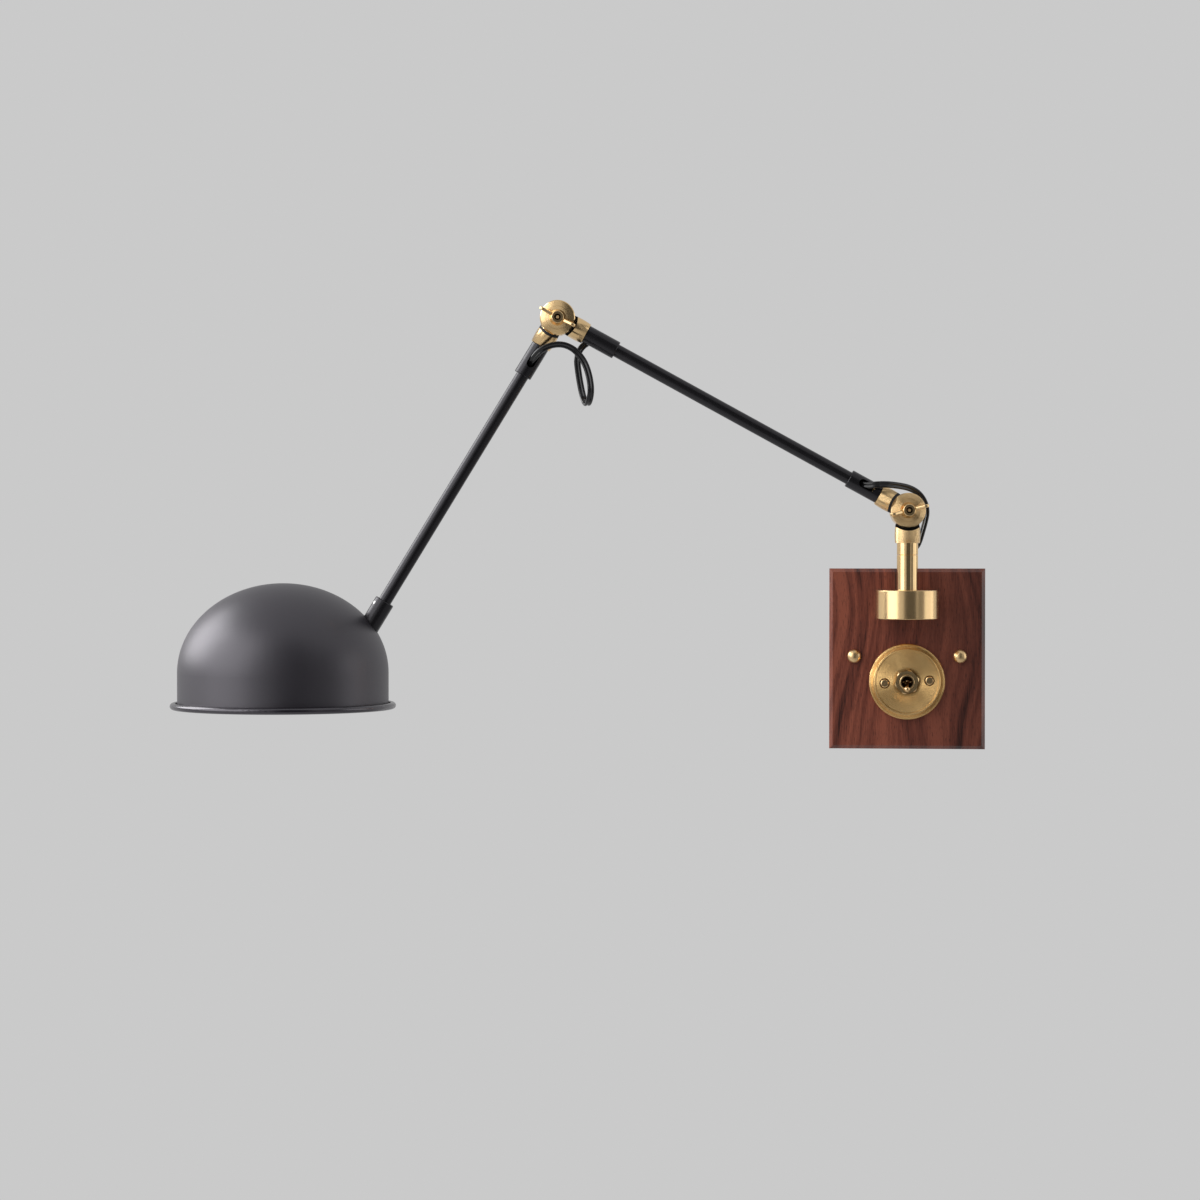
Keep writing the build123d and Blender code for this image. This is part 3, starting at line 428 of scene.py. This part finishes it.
def aged_brass(settings, middle, screws, screw_reach):
    """Waxed brass of the switch plates, turned in fine grooves, a little mottled, with painted
    shade round the nut and a painted shade line round each screw."""
    finish = Finish("aged_brass", {"Metallic": 1.0})
    clouds = finish.noise((60, 60, 60), detail=5.0, roughness=0.6)
    specks = finish.noise((900, 900, 900), detail=3.0, roughness=0.6)
    reach = finish.reach(middle, (0, 1, 0))
    tarnish = finish.spread(clouds, 0.40, 0.70, 0.0, 0.45)
    colour = finish.blend(tarnish, settings.aged_brass, settings.aged_shadow)
    # line gathers painted shade: round the nut, fading outwards, and a thin line round each screw
    # head.
    line = finish.spread(reach, *NUT_SHADE, 0.75, 0.0)
    for screw in screws:
        beside = finish.reach(screw, (0, 1, 0))
        line = finish.ring(beside, *(screw_reach + step for step in SCREW_LINE_SHADE)) + line
    finish.link(colour=finish.blend(line, colour, (0.07, 0.035, 0.014, 1)),
                roughness=0.16 + tarnish * 0.10 + specks * 0.06)
    finish.bump(finish.grooves(reach, settings, COVER_GROOVE_SLOPE) + clouds * 0.00005
                + specks * 0.000004, 1.0, 1.0)
    return finish.material


def black_paint(settings):
    """Satin black lacquer with a faint orange peel."""
    finish = Finish("black_paint", {"Specular IOR Level": 0.5,
                                    "Specular Tint": (0.95, 0.93, 1.0, 1)})
    peel = finish.noise((1400, 1400, 1400), detail=2.0)
    dust = finish.noise((160, 160, 160), detail=5.0, roughness=0.7)
    worn = finish.spread(dust, 0.5, 0.8, 0.0, 0.5)
    finish.link(colour=finish.blend(worn, settings.black, (0.012, 0.011, 0.013, 1)),
                roughness=0.25 + worn * 0.10)
    finish.bump(peel, 0.12, 0.00006)
    return finish.material


# Distances beyond the middle of the shade's wall, in metres.
BEAD_START = 0.0010                   # the rolled rim begins
BEAD_GROOVE_SHADE_END = 0.0022              # the painted shade line where the rim rolls over


def shade_enamel(settings, middle, dome_radius, dome_height, rim_level):
    """Anthracite enamel outside and off-white inside; the rolled rim stays dark, with painted shade
    in the groove where it rolls over. The middle is where the dome meets the skirt, and the level
    where the white ends is measured from it."""
    finish = Finish("shade_enamel", {"IOR": 1.62, "Specular IOR Level": 0.9,
                                     "Specular Tint": (0.96, 0.92, 1.0, 1)})
    point = finish.node("ShaderNodeTexCoord", {}, {}, "Object")
    x = finish.node("ShaderNodeSeparateXYZ", {}, {"Vector": point}, "X") - middle.x
    y = finish.node("ShaderNodeSeparateXYZ", {}, {"Vector": point}, "Y") - middle.y
    z = finish.node("ShaderNodeSeparateXYZ", {}, {"Vector": point}, "Z") - middle.z
    above = z.math("MAXIMUM", z, 0.0) / dome_height
    reach = (x * x + y * y) / dome_radius ** 2 + above * above
    inside = (reach < 1.0) * (z > rim_level)
    bead = (x * x + y * y) ** 0.5 > dome_radius + BEAD_START
    peel = finish.noise((900, 900, 900), detail=2.0)
    clouds = finish.noise((30, 30, 30), detail=4.0)
    tone = finish.blend(finish.spread(clouds, 0.35, 0.7, 0.0, 0.5), settings.anthracite,
                        (0.0060, 0.0048, 0.0090, 1))
    # The groove where the rim rolls over is painted near black, as shade.
    groove = bead * ((x * x + y * y) ** 0.5 < dome_radius + BEAD_GROOVE_SHADE_END)
    tone = finish.blend(groove, tone, (0.0015, 0.0013, 0.0016, 1))
    finish.link(colour=finish.blend(inside, tone, settings.off_white),
                roughness=0.44 + (clouds - 0.5) * 0.05 + inside * 0.1 - bead * 0.2 + groove * 0.5)
    finish.bump(peel, 0.10, 0.00008)
    return finish.material


def plain_finish(name, colour, roughness, metallic=0.0, grain=600, unevenness=0.15, extra=None):
    """A hidden or small piece's finish: one colour with fine, uneven roughness and tone."""
    finish = Finish(name, {"Metallic": metallic, **(extra or {})})
    texture = finish.noise((grain, grain, grain), detail=3.0, roughness=0.6)
    darker = tuple(channel * (1 - 2 * unevenness) for channel in colour[:3]) + (1,)
    finish.link(colour=finish.blend(finish.spread(texture, 0.4, 0.7), colour, darker),
                roughness=roughness + (texture - 0.5) * 0.15)
    finish.bump(texture, 0.1, 0.00005)
    return finish.material


def flex_sheath(settings):
    """Glossy black vinyl that is a little uneven along its length."""
    finish = Finish("flex_sheath", {"Specular IOR Level": 0.35, "Coat Weight": 0.35,
                                    "Coat Roughness": 0.08})
    wave = finish.noise((220, 220, 220), detail=2.0)
    finish.link(colour=finish.blend(wave, settings.flex, (0.008, 0.0075, 0.009, 1)),
                roughness=0.12 + wave * 0.10)
    finish.bump(wave, 0.2, 0.0002)
    return finish.material


def dress(finish, *nodes):
    """Gives CAD nodes a finish."""
    for name in nodes:
        node = FRAME["nodes"][name]
        node.data.materials.clear()
        node.data.materials.append(finish)


# --------------------------------------------------------------------------------- flex pieces
def twin_section(settings):
    """The flat twin flex's outline as (across, through) points, two cores with a groove between."""
    radius = settings.thickness / 2
    centre = settings.width / 2 - radius
    steps = settings.lobe_steps
    points = []
    for side, first in ((1, -135), (-1, 45)):
        for step in range(steps + 1):
            turn = math.radians(first + 270 * step / steps)
            points.append((side * centre + radius * math.cos(turn), radius * math.sin(turn)))
        points.append((0, side * settings.groove))
    return points


def line_through(name, pivot, route):
    """Points along the smooth line that a route's corner points control."""
    curve = bpy.data.curves.new(name, "CURVE")
    curve.dimensions = "3D"
    curve.resolution_u = 10
    spline = curve.splines.new("NURBS")
    spline.points.add(len(route) - 1)
    for point, (right, high, rear) in zip(spline.points, route):
        point.co = (*(pivot + ALONG * right + UP * high + BACK * rear), 1)
    spline.order_u = 3
    spline.use_endpoint_u = True
    holder = bpy.data.objects.new(name, curve)
    bpy.context.scene.collection.objects.link(holder)
    bpy.context.view_layer.update()
    mesh = bpy.data.meshes.new_from_object(holder)
    points = [vertex.co.copy() for vertex in mesh.vertices]
    bpy.data.objects.remove(holder)
    bpy.data.meshes.remove(mesh)
    return points


def twin_flex(name, path, first_across, twist, settings, finish):
    """A tube of the twin section along a path. The section starts with its width along
    first_across, turns with the path, and is twisted by twist(share) degrees on the way."""
    section = twin_section(settings)
    mesh = bmesh.new()
    tangents = [(path[min(i + 1, len(path) - 1)] - path[max(i - 1, 0)]).normalized()
                for i in range(len(path))]
    across = first_across.copy()
    rings = []
    for i, (point, tangent) in enumerate(zip(path, tangents)):
        if i:
            across = tangents[i - 1].rotation_difference(tangent) @ across
        across = (across - tangent * across.dot(tangent)).normalized()
        turned = Matrix.Rotation(math.radians(twist(i / (len(path) - 1))), 3, tangent) @ across
        through = tangent.cross(turned)
        rings.append([mesh.verts.new(point + turned * u + through * v) for u, v in section])
    for before, after in zip(rings, rings[1:]):
        for k in range(len(section)):
            n = (k + 1) % len(section)
            mesh.faces.new((before[k], before[n], after[n], after[k]))
    mesh.faces.new(list(reversed(rings[0])))
    mesh.faces.new(rings[-1])
    bmesh.ops.recalc_face_normals(mesh, faces=mesh.faces)
    for face in mesh.faces:
        face.smooth = len(face.verts) == 4
    data = bpy.data.meshes.new(name)
    mesh.to_mesh(data)
    mesh.free()
    data.materials.append(finish)
    flex = bpy.data.objects.new(name, data)
    bpy.context.scene.collection.objects.link(flex)
    return flex


def smooth_step(value, low, high):
    """0 below low, 1 above high, and smooth between."""
    share = min(max((value - low) / (high - low), 0), 1)
    return share * share * (3 - 2 * share)


def shared(name, make, *arguments):
    """A finish that several pieces use, made once."""
    return bpy.data.materials.get(name) or make(*arguments)


class WALLLAMP_OT_shoulder_flex(bpy.types.Operator):
    """The flex from the turning stem over the shoulder pivot into the first arm's sleeve"""
    bl_idname = "wall_lamp.shoulder_flex"
    bl_label = "Shoulder flex"

    # Where the bend starts and ends: metres to the right of the pivot and above it.
    BEND_START = (0.018, -0.005)
    BEND_END = (-0.018, 0.021)

    def execute(self, context):
        settings = context.scene.wall_lamp_flex
        sheath = shared("flex_sheath", flex_sheath, context.scene.wall_lamp_finishes)
        path = line_through("shoulder_flex_line", SHOULDER, SHOULDER_ROUTE)
        flex = twin_flex("shoulder_flex", path, BACK, self.twist, settings, sheath)
        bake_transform(flex)
        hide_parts("shoulder_cord")
        return {"FINISHED"}

    @staticmethod
    def spot(right, high):
        return SHOULDER + ALONG * right + UP * high

    @staticmethod
    def twist(share):
        return 78 * smooth_step(share, 0.36, 0.84)


class WALLLAMP_OT_elbow_flex(bpy.types.Operator):
    """The flex that leaves the second arm's sleeve, hangs in a loop and goes into the first arm"""
    bl_idname = "wall_lamp.elbow_flex"
    bl_label = "Elbow flex"

    def execute(self, context):
        settings = context.scene.wall_lamp_flex
        sheath = shared("flex_sheath", flex_sheath, context.scene.wall_lamp_finishes)
        path = line_through("elbow_flex_line", ELBOW, ELBOW_ROUTE)
        tangent = (path[1] - path[0]).normalized()
        flex = twin_flex("elbow_flex", path, tangent.cross(BACK), self.twist, settings, sheath)
        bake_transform(flex)
        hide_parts("elbow_cord")
        return {"FINISHED"}

    @staticmethod
    def twist(share):
        arc = smooth_step(share, 0.04, 0.15) - smooth_step(share, 0.22, 0.34)
        return 28 * arc - 43 * smooth_step(share, 0.47, 0.63)


# --------------------------------------------------------------------------------- CAD pieces
class WALLLAMP_OT_plate(bpy.types.Operator):
    """The walnut back plate"""
    bl_idname = "wall_lamp.plate"
    bl_label = "Wooden plate"

    def execute(self, context):
        dress(walnut(context.scene.wall_lamp_finishes), "backplate")
        return {"FINISHED"}


class WALLLAMP_OT_turned_brass(bpy.types.Operator):
    """The cup, stems and other turned brass"""
    bl_idname = "wall_lamp.turned_brass"
    bl_label = "Turned brass"

    def execute(self, context):
        settings = context.scene.wall_lamp_finishes
        dress(brass("cup_brass", settings, 0.23, 0.10), "canopy_cup", "base_cap")
        dress(brass("stem_brass", settings, 0.13), "lower_stem", "upper_stem")
        dress(brass("nut_brass", settings, 0.30, 0.15), "cap_nuts")
        return {"FINISHED"}


class WALLLAMP_OT_pivots(bpy.types.Operator):
    """The polished brass of the pivots, wing nuts, bolts and small fittings"""
    bl_idname = "wall_lamp.pivots"
    bl_label = "Pivots"

    BOLT_SLOT_SHADE = (0.0012, 0.0026)          # painted shade ring in a bolt's end, metres from its axis
    ELBOW_DOME_TOP = UP * 0.006 + ALONG * 0.010

    def execute(self, context):
        settings = context.scene.wall_lamp_finishes
        dress(pivot_brass("shoulder_brass", settings, SHOULDER, 0.46, 0.08, Vector()),
              "shoulder_rear_knuckle", "arm_1_lower_knuckle")
        dress(pivot_brass("elbow_brass", settings, ELBOW, 0.05, 0.27, self.ELBOW_DOME_TOP),
              "arm_1_upper_knuckle", "arm_2_knuckle")
        dress(brass("polished_brass", settings, 0.15, 0.1), "shoulder_wing_nut", "elbow_wing_nut",
              "saddle_washer")
        dress(recessed_brass("shoulder_bolt_brass", settings, SHOULDER, BACK, *self.BOLT_SLOT_SHADE),
              "shoulder_bolt")
        dress(recessed_brass("elbow_bolt_brass", settings, ELBOW, BACK, *self.BOLT_SLOT_SHADE),
              "elbow_bolt")
        fibre = plain_finish("washer_fibre", (0.08, 0.05, 0.035, 1), 0.7)
        dress(fibre, "shoulder_washer", "elbow_washer")
        return {"FINISHED"}


class WALLLAMP_OT_switch(bpy.types.Operator):
    """The aged brass plates and screws of the switch, and its body"""
    bl_idname = "wall_lamp.switch"
    bl_label = "Switch"

    SCREW_HEAD_RADIUS = 0.0034
    BUSH_MOUTH_SHADE = (0.0026, 0.0048)         # painted shade ring inside the nut, metres from the axis

    def execute(self, context):
        settings = context.scene.wall_lamp_finishes
        low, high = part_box("switch_base")
        middle = (low + high) / 2
        low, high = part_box("switch_screws")
        head = self.SCREW_HEAD_RADIUS
        screws = [Vector((side, middle.y, level)) for side, level in
                  ((low.x + head, low.z + head), (high.x - head, high.z - head))]
        dress(aged_brass(settings, middle, screws, head), "switch_base", "switch_cover")
        dress(brass("screw_brass", settings, 0.2, 0.8), "switch_screws")
        dress(recessed_brass("switch_brass", settings, middle, (0, 1, 0), *self.BUSH_MOUTH_SHADE),
              "switch_bush", "switch_nut")
        dress(brass("lever_brass", settings, 0.15), "toggle_lever")
        dress(plain_finish("phenolic", (0.02, 0.014, 0.012, 1), 0.3), "switch_body",
              "lampholder_cap", "lampholder_shell")
        return {"FINISHED"}


class WALLLAMP_OT_arms(bpy.types.Operator):
    """The black tubes, sleeves and shade collar"""
    bl_idname = "wall_lamp.arms"
    bl_label = "Arms"

    def execute(self, context):
        dress(black_paint(context.scene.wall_lamp_finishes), "arm_1_lower_sleeve", "arm_1_tube",
              "arm_1_upper_sleeve", "arm_2_sleeve", "arm_2_tube", "shade_collar")
        return {"FINISHED"}


class WALLLAMP_OT_shade(bpy.types.Operator):
    """The enamelled shade"""
    bl_idname = "wall_lamp.shade"
    bl_label = "Shade"

    # Metres.
    DOME_RISE = 0.0714                    # the dome's outside, from its foot to its top
    WALL_RADIUS = 0.0835                  # the middle of the wall
    WALL_RISE = 0.0709                    # the middle of the wall, from the foot to the top
    RIM_LEVEL = -0.0268                   # from the foot, where the white inside ends

    def execute(self, context):
        low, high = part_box("shade")
        middle = Vector(((low.x + high.x) / 2, (low.y + high.y) / 2, high.z - self.DOME_RISE))
        dress(shade_enamel(context.scene.wall_lamp_finishes, middle, self.WALL_RADIUS,
                           self.WALL_RISE, self.RIM_LEVEL), "shade")
        return {"FINISHED"}


class WALLLAMP_OT_bulb(bpy.types.Operator):
    """The frosted bulb and its nickel cap"""
    bl_idname = "wall_lamp.bulb"
    bl_label = "Bulb"

    def execute(self, context):
        frosting = {"Subsurface Weight": 0.3, "Subsurface Scale": 0.005}
        dress(plain_finish("frosted_glass", (0.85, 0.84, 0.80, 1), 0.45, grain=150,
                           unevenness=0.02, extra=frosting), "bulb_globe")
        dress(plain_finish("nickel", (0.70, 0.68, 0.64, 1), 0.22, 1.0), "bulb_cap")
        return {"FINISHED"}


class WALLLAMP_OT_fixings(bpy.types.Operator):
    """The steel fixings, the terminal block and the flex inside the tubes"""
    bl_idname = "wall_lamp.fixings"
    bl_label = "Fixings"

    def execute(self, context):
        steel = plain_finish("zinc_steel", (0.55, 0.55, 0.54, 1), 0.35, 1.0)
        dress(steel, "wall_crossbar", "crossbar_studs", "cup_nipple", "nipple_nuts", "stem_nut",
              "swivel_grub_screw", "collar_grub_screw", "shade_nipple", "shade_nut")
        dress(plain_finish("nylon", (0.75, 0.74, 0.69, 1), 0.5), "terminal_block")
        sheath = shared("flex_sheath", flex_sheath, context.scene.wall_lamp_finishes)
        dress(sheath, "base_lead", "stem_lead", "arm_1_lead", "arm_2_lead", "head_lead")
        return {"FINISHED"}


# ------------------------------------------------------------------------------------- studio
class WALLLAMP_OT_stage(bpy.types.Operator):
    """The floor, the grey surroundings, the soft lights, the studio cards and the camera"""
    bl_idname = "wall_lamp.stage"
    bl_label = "Studio"

    # Name, place and size in metres, power in watts, and whether reflections show it.
    PANELS = (
        ("key_panel", (-2.5, 0.45, 1.15), (1.7, 1.7), 42, True),
        ("side_panel", (-2.1, -1.35, 0.9), (2.2, 2.6), 29, True),
        ("front_panel", (-1.0, -2.4, 1.5), (2.6, 2.0), 14, False),
        ("fill_panel", (0.95, -0.12, 0.15), (0.75, 0.9), 1.8, True),
    )
    # Name, place and size in metres, and the grey that reflections show.
    CARDS = (
        ("front_card", (0.38, -2.2, 0.0), (1.8, 5.4), 0.09),
        ("right_card", (2.1, -0.9, 0.0), (2.6, 3.2), 0.22),
    )
    CARD_AIM = (-0.15, -0.05)             # the point that the cards face, seen from above

    def execute(self, context):
        studio = context.scene.wall_lamp_studio
        context.scene.view_settings.view_transform = "Standard"
        self.floor(context, studio)
        self.surroundings(context, studio)
        for panel in self.PANELS:
            self.panel(context, *panel)
        for card in self.CARDS:
            self.card(context, *card)
        self.camera(context, studio)
        return {"FINISHED"}

    @staticmethod
    def sheet(context, name, finish, segments, size):
        """A flat square of stage mesh with its finish."""
        mesh = bmesh.new()
        bmesh.ops.create_grid(mesh, x_segments=segments, y_segments=segments, size=size)
        data = bpy.data.meshes.new(name)
        mesh.to_mesh(data)
        mesh.free()
        data.materials.append(finish)
        sheet = bpy.data.objects.new(name, data)
        context.scene.collection.objects.link(sheet)
        return sheet

    def floor(self, context, studio):
        grey = studio.background
        paint = plain_finish("floor_paint", (grey, grey, grey, 1), 0.8, grain=20, unevenness=0.01)
        floor = self.sheet(context, "floor", paint, 12, 3.0)
        floor.location = (0, -1.4, CAD_BOX[0].z - studio.floor_depth)

    def surroundings(self, context, studio):
        """A pale world that the camera, metal and glass see, and a plain level of light for
        everything else."""
        world = bpy.data.worlds.new("studio")
        world.use_nodes = True
        context.scene.world = world
        tree = world.node_tree
        grey = studio.background
        pale = tree.nodes["Background"]
        pale.inputs["Color"].default_value = (grey, grey, grey, 1)
        plain = tree.nodes.new("ShaderNodeBackground")
        plain.inputs["Strength"].default_value = studio.world_level
        paths = tree.nodes.new("ShaderNodeLightPath")
        camera, glossy, clear = (Reading(tree, paths.outputs[name]) for name in
                                 ("Is Camera Ray", "Is Glossy Ray", "Is Transmission Ray"))
        mix = tree.nodes.new("ShaderNodeMixShader")
        connect(mix.inputs[0], camera + glossy + clear)
        tree.links.new(plain.outputs[0], mix.inputs[1])
        tree.links.new(pale.outputs[0], mix.inputs[2])
        tree.links.new(mix.outputs[0], tree.nodes["World Output"].inputs[0])

    def card(self, context, name, place, size, tone):
        """An upright studio card that only reflections show, facing the lamp."""
        finish = Finish(name, {"Base Color": (0, 0, 0, 1), "Roughness": 1.0,
                               "Specular IOR Level": 0.0, "Emission Color": (tone, tone, tone, 1),
                               "Emission Strength": 1.0})
        card = self.sheet(context, name, finish.material, 1, 0.5)
        card.location = place
        card.scale = (*size, 1)
        aim = Vector((*self.CARD_AIM, place[2]))
        card.rotation_euler = (aim - Vector(place)).to_track_quat("-Z", "Y").to_euler()
        card.visible_camera = False
        card.visible_diffuse = False
        card.visible_transmission = False
        card.visible_shadow = False

    def panel(self, context, name, place, size, power, reflected):
        """A rectangular soft light that faces the middle of the lamp."""
        light = bpy.data.lights.new(name, "AREA")
        light.shape = "RECTANGLE"
        light.size, light.size_y = size
        light.energy = power
        panel = bpy.data.objects.new(name, light)
        panel.location = place
        middle = (CAD_BOX[0] + CAD_BOX[1]) / 2
        panel.rotation_euler = (middle - Vector(place)).to_track_quat("-Z", "Y").to_euler()
        panel.visible_camera = False
        panel.visible_glossy = reflected
        context.scene.collection.objects.link(panel)

    def camera(self, context, studio):
        """The camera stands where the shoulder pivot lands on its pixel."""
        data = bpy.data.cameras.new("camera")
        data.lens = studio.focal_length
        data.sensor_width = 36
        data.clip_end = 50
        pixels = studio.focal_length / data.sensor_width * studio.image_size
        aim = Euler((math.pi / 2 - studio.pitch, 0, studio.heading))
        turn = aim.to_matrix()
        half = studio.image_size / 2
        ray = turn @ Vector(((studio.shoulder_column - half) / pixels,
                             (half - studio.shoulder_row) / pixels, -1))
        camera = bpy.data.objects.new("camera", data)
        camera.location = SHOULDER - ray * studio.distance
        camera.rotation_euler = aim
        context.scene.collection.objects.link(camera)
        context.scene.camera = camera


# -------------------------------------------------------------------------------------- add-on
class WALLLAMP_PT_panel(bpy.types.Panel):
    """Lists the lamp's pieces in the sidebar"""
    bl_label = "Wall Lamp"
    bl_idname = "WALLLAMP_PT_panel"
    bl_space_type = "VIEW_3D"
    bl_region_type = "UI"
    bl_category = "Wall Lamp"

    def draw(self, context):
        for operator in OPERATORS:
            self.layout.operator(operator.bl_idname)


OPERATORS = (
    WALLLAMP_OT_shoulder_flex,
    WALLLAMP_OT_elbow_flex,
    WALLLAMP_OT_plate,
    WALLLAMP_OT_turned_brass,
    WALLLAMP_OT_pivots,
    WALLLAMP_OT_switch,
    WALLLAMP_OT_arms,
    WALLLAMP_OT_shade,
    WALLLAMP_OT_bulb,
    WALLLAMP_OT_fixings,
    WALLLAMP_OT_stage,
)
SETTINGS = {
    "wall_lamp_flex": FlexSettings,
    "wall_lamp_finishes": FinishSettings,
    "wall_lamp_studio": StudioSettings,
}


def register():
    for settings in SETTINGS.values():
        bpy.utils.register_class(settings)
    for operator in OPERATORS:
        bpy.utils.register_class(operator)
    bpy.utils.register_class(WALLLAMP_PT_panel)
    for name, settings in SETTINGS.items():
        setattr(bpy.types.Scene, name, PointerProperty(type=settings))


def unregister():
    for name in SETTINGS:
        delattr(bpy.types.Scene, name)
    bpy.utils.unregister_class(WALLLAMP_PT_panel)
    for operator in reversed(OPERATORS):
        bpy.utils.unregister_class(operator)
    for settings in SETTINGS.values():
        bpy.utils.unregister_class(settings)


def main():
    register()
    for operator in OPERATORS:
        group, name = operator.bl_idname.split(".")
        getattr(getattr(bpy.ops, group), name)()


if __name__ == "__main__":
    main()
